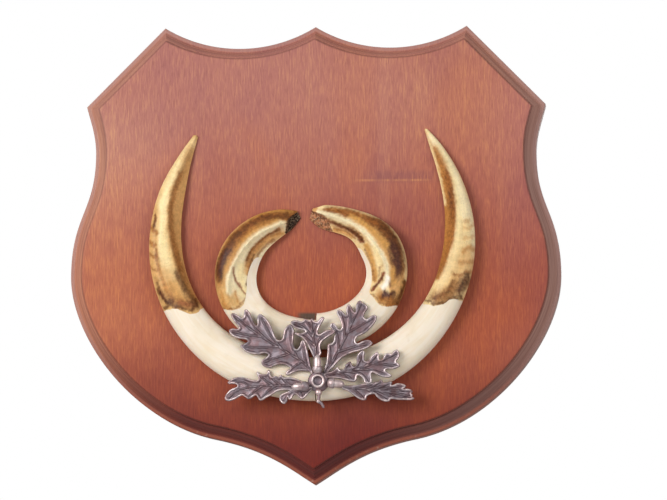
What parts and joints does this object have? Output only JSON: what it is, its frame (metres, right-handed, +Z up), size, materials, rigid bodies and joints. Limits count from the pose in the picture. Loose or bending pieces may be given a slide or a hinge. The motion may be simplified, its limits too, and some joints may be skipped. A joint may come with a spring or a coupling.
{
  "type": "wild boar tusk trophy plaque",
  "caption": "Wall-hung hardwood shield with a moulded edge, carrying boar tusks and a cast spray of oak leaves and acorns.",
  "frame": {"origin": "on the middle line of the board's flat back, at mid-height, where it is fixed to the wall", "axes": "+Z up the wall, the front faces -Y, +X to the right as the front is seen, +Y into the wall"},
  "size_m": [0.2702, 0.0423, 0.2531],
  "materials": {
    "mahogany_stain": "red-brown stained hardwood, vertical grain, satin lacquer",
    "tusk_ivory": "polished tusk ivory: cream at the root, yellow-brown stained and banded where it grew out of the gum",
    "oxidised_silver": "silver-plated casting, darkened purplish grey in the hollows, rubbed bright on the rims"
  },
  "bodies": {
    "root": {"shield": "mahogany_stain", "left_lower_tusk": "tusk_ivory", "right_lower_tusk": "tusk_ivory", "left_upper_tusk": "tusk_ivory", "right_upper_tusk": "tusk_ivory", "oak_leaf_spray": "oxidised_silver"}
  },
  "joints": []
}
